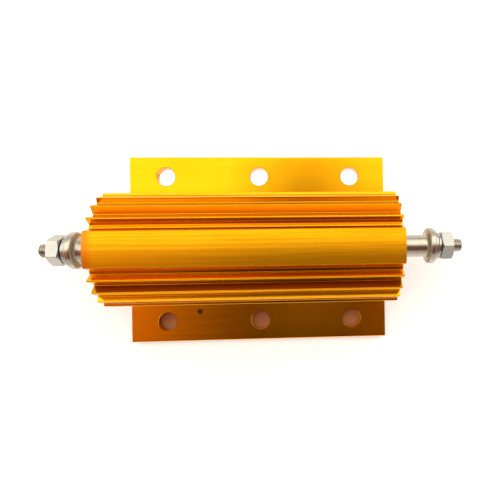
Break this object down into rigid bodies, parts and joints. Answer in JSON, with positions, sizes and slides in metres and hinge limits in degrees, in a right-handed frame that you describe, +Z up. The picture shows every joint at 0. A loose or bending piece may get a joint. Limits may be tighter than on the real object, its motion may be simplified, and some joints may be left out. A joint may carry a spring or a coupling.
{
  "type": "aluminium housed power resistor",
  "caption": "Wirewound power resistor in a finned, gold-anodised aluminium extrusion with drilled mounting flanges and a threaded stud terminal with nut and washers at each end.",
  "frame": {"origin": "middle of the housing's mounting face; the element with its terminals sits 0.8 mm to the right of it", "axes": "+X along the stud axis, +Y across the mounting flanges, +Z up from the mounting face"},
  "size_m": [0.1479, 0.0724, 0.0419],
  "materials": {
    "gold_anodised_aluminium": "satin",
    "white_ceramic": "matte",
    "resistance_wire": "satin",
    "grey_cement": "matte",
    "pressed_steel": "satin",
    "pale_silicone": "matte",
    "nickel_plated_steel": "satin",
    "stainless_hardware": "satin"
  },
  "bodies": {
    "root": {"housing": "gold_anodised_aluminium", "ceramic_core": "white_ceramic", "resistance_winding": "resistance_wire", "cement_fill": "grey_cement", "end_cap_left": "pressed_steel", "end_cap_right": "pressed_steel", "end_seal_left": "pale_silicone", "end_seal_right": "pale_silicone", "terminal_left": "nickel_plated_steel", "terminal_right": "nickel_plated_steel", "flat_washer_left": "stainless_hardware", "flat_washer_right": "stainless_hardware", "spring_washer_left": "stainless_hardware", "spring_washer_right": "stainless_hardware", "hex_nut_left": "stainless_hardware", "hex_nut_right": "stainless_hardware"}
  },
  "joints": []
}
